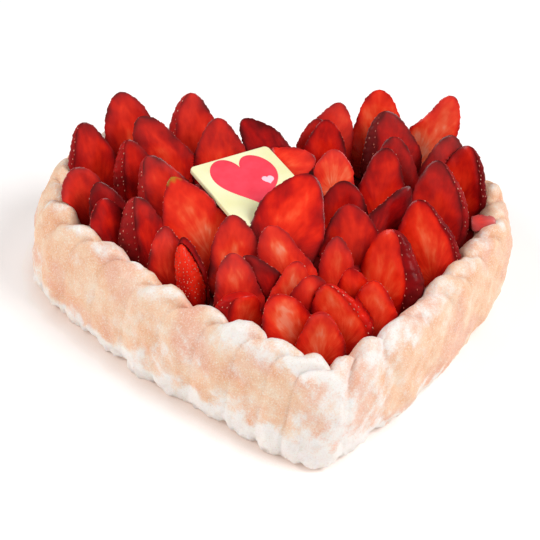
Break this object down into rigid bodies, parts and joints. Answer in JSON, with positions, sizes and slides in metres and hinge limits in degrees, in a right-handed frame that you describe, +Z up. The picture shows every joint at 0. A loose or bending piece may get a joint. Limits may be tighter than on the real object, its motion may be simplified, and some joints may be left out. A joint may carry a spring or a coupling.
{
  "type": "heart shaped strawberry cake",
  "caption": "Heart shaped cake: a dusted sponge finger band round a red filling, covered with standing strawberry slices and a pale square plaque with a printed heart.",
  "frame": {"origin": "middle of the cake's box, on the surface it stands on", "axes": "+Z up, -Y towards the tip of the heart, +X to the right when the tip faces the reader"},
  "size_m": [0.2394, 0.1954, 0.079],
  "materials": {
    "sponge": "matt, soft sponge dusted with powdered sugar",
    "jelly": "glossy dark red fruit jelly",
    "strawberry": "wet glazed fruit",
    "ivory_chocolate": "satin pale ivory chocolate with a printed red heart"
  },
  "bodies": {
    "root": {"back_row_1": "strawberry", "back_row_2": "strawberry", "back_row_3": "strawberry", "back_row_4": "strawberry", "back_row_5": "strawberry", "back_row_6": "strawberry", "fifth_row_1": "strawberry", "fifth_row_2": "strawberry", "fifth_row_3": "strawberry", "fifth_row_4": "strawberry", "fifth_row_5": "strawberry", "fifth_row_6": "strawberry", "fourth_row_1": "strawberry", "fourth_row_10": "strawberry", "fourth_row_11": "strawberry", "fourth_row_12": "strawberry", "fourth_row_13": "strawberry", "fourth_row_2": "strawberry", "fourth_row_3": "strawberry", "fourth_row_4": "strawberry", "fourth_row_5": "strawberry", "fourth_row_6": "strawberry", "fourth_row_7": "strawberry", "fourth_row_8": "strawberry", "fourth_row_9": "strawberry", "front_row_1": "strawberry", "front_row_2": "strawberry", "front_row_3": "strawberry", "front_row_4": "strawberry", "front_row_5": "strawberry", "front_row_6": "strawberry", "front_row_7": "strawberry", "front_row_8": "strawberry", "jelly_bed": "jelly", "plaque": "ivory_chocolate", "second_row_1": "strawberry", "second_row_2": "strawberry", "second_row_3": "strawberry", "second_row_4": "strawberry", "second_row_5": "strawberry", "second_row_6": "strawberry", "second_row_7": "strawberry", "second_row_8": "strawberry", "sponge_band": "sponge", "third_row_1": "strawberry", "third_row_2": "strawberry", "third_row_3": "strawberry", "third_row_4": "strawberry", "third_row_5": "strawberry", "third_row_6": "strawberry", "third_row_7": "strawberry", "third_row_8": "strawberry", "third_row_9": "strawberry"}
  },
  "joints": []
}
